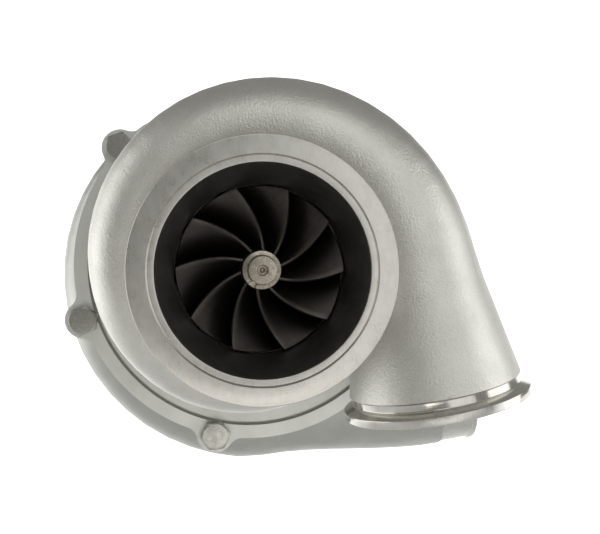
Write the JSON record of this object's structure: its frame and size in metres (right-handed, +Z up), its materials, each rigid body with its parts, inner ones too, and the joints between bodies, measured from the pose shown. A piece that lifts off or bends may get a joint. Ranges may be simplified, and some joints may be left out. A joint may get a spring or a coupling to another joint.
{
  "type": "turbocharger",
  "caption": "Single-scroll turbocharger with band-clamp turbine flanges, ball-bearing centre section, eared backplate and an aluminium compressor cover.",
  "frame": {"origin": "centre of the turbine inlet flange's face, which carries the turbocharger", "axes": "-Y out of the turbine outlet along the shaft, +Y out of the compressor inlet, +Z up, +X towards the compressor outlet"},
  "size_m": [0.2189, 0.203, 0.1983],
  "materials": {
    "cast_stainless": "investment-cast stainless steel, bead blasted to a satin grain, with machined flange faces",
    "nickel_alloy": "cast nickel alloy, dark oxidised surface with ground edges and a machined bright nose",
    "cast_aluminium": "cast aluminium, smooth tumbled satin finish with machined joint faces and pipe ends",
    "billet_aluminium": "five-axis milled aluminium with fine tool lines",
    "cast_iron": "sand-cast iron, fine grain, machined pads",
    "ground_steel": "ground and polished bearing steel",
    "zinc_steel": "zinc-plated steel fasteners",
    "sheet_stainless": "pressed stainless sheet",
    "cage_resin": "moulded fibre-filled bearing cage resin",
    "seal_rubber": "moulded fluorocarbon rubber"
  },
  "bodies": {
    "housing": {"turbine_housing": "cast_stainless", "turbine_seal_ring": "ground_steel", "heat_shield": "sheet_stainless", "centre_housing": "cast_iron", "bearing_outer_race": "ground_steel", "bearing_locating_screw": "zinc_steel", "compressor_seal_ring": "ground_steel", "compressor_backplate": "cast_aluminium", "backplate_o_ring": "seal_rubber", "cover_o_ring": "seal_rubber", "compressor_housing": "cast_aluminium", "cover_bolt_1": "zinc_steel", "clamp_bolt_1": "zinc_steel", "cover_bolt_2": "zinc_steel", "clamp_bolt_2": "zinc_steel", "cover_bolt_3": "zinc_steel", "clamp_bolt_3": "zinc_steel", "cover_bolt_4": "zinc_steel", "clamp_bolt_4": "zinc_steel", "cover_bolt_5": "zinc_steel", "clamp_bolt_5": "zinc_steel", "cover_bolt_6": "zinc_steel", "clamp_bolt_6": "zinc_steel", "backplate_screw_1": "zinc_steel", "backplate_screw_2": "zinc_steel", "backplate_screw_3": "zinc_steel", "backplate_screw_4": "zinc_steel", "clamp_plate_1": "sheet_stainless", "clamp_plate_2": "sheet_stainless", "clamp_plate_3": "sheet_stainless"},
    "rotor": {"turbine_wheel": "nickel_alloy", "rotor_shaft": "ground_steel", "bearing_inner_race_turbine": "ground_steel", "bearing_inner_race_compressor": "ground_steel", "oil_collar": "ground_steel", "compressor_wheel": "billet_aluminium", "rotor_nut": "zinc_steel"},
    "turbine_ball_set": {"bearing_cage_turbine": "cage_resin", "bearing_ball_turbine_1": "ground_steel", "bearing_ball_turbine_2": "ground_steel", "bearing_ball_turbine_3": "ground_steel", "bearing_ball_turbine_4": "ground_steel", "bearing_ball_turbine_5": "ground_steel", "bearing_ball_turbine_6": "ground_steel", "bearing_ball_turbine_7": "ground_steel", "bearing_ball_turbine_8": "ground_steel"},
    "compressor_ball_set": {"bearing_cage_compressor": "cage_resin", "bearing_ball_compressor_1": "ground_steel", "bearing_ball_compressor_2": "ground_steel", "bearing_ball_compressor_3": "ground_steel", "bearing_ball_compressor_4": "ground_steel", "bearing_ball_compressor_5": "ground_steel", "bearing_ball_compressor_6": "ground_steel", "bearing_ball_compressor_7": "ground_steel", "bearing_ball_compressor_8": "ground_steel"}
  },
  "joints": [
    {"name": "rotor_spin", "type": "hinge", "parent": "housing", "child": "rotor", "pos_m": [-0.0777, 0.043, 0.058], "axis": [0, 1, 0], "continuous": true},
    {"name": "turbine_balls_spin", "type": "hinge", "parent": "housing", "child": "turbine_ball_set", "pos_m": [-0.0777, 0.0321, 0.058], "axis": [0, 1, 0], "continuous": true},
    {"name": "compressor_balls_spin", "type": "hinge", "parent": "housing", "child": "compressor_ball_set", "pos_m": [-0.0777, 0.0519, 0.058], "axis": [0, 1, 0], "continuous": true}
  ],
  "couplings": [
    {"joint": "turbine_balls_spin", "follows": "rotor_spin", "ratio": 0.3721},
    {"joint": "compressor_balls_spin", "follows": "rotor_spin", "ratio": 0.3721}
  ]
}
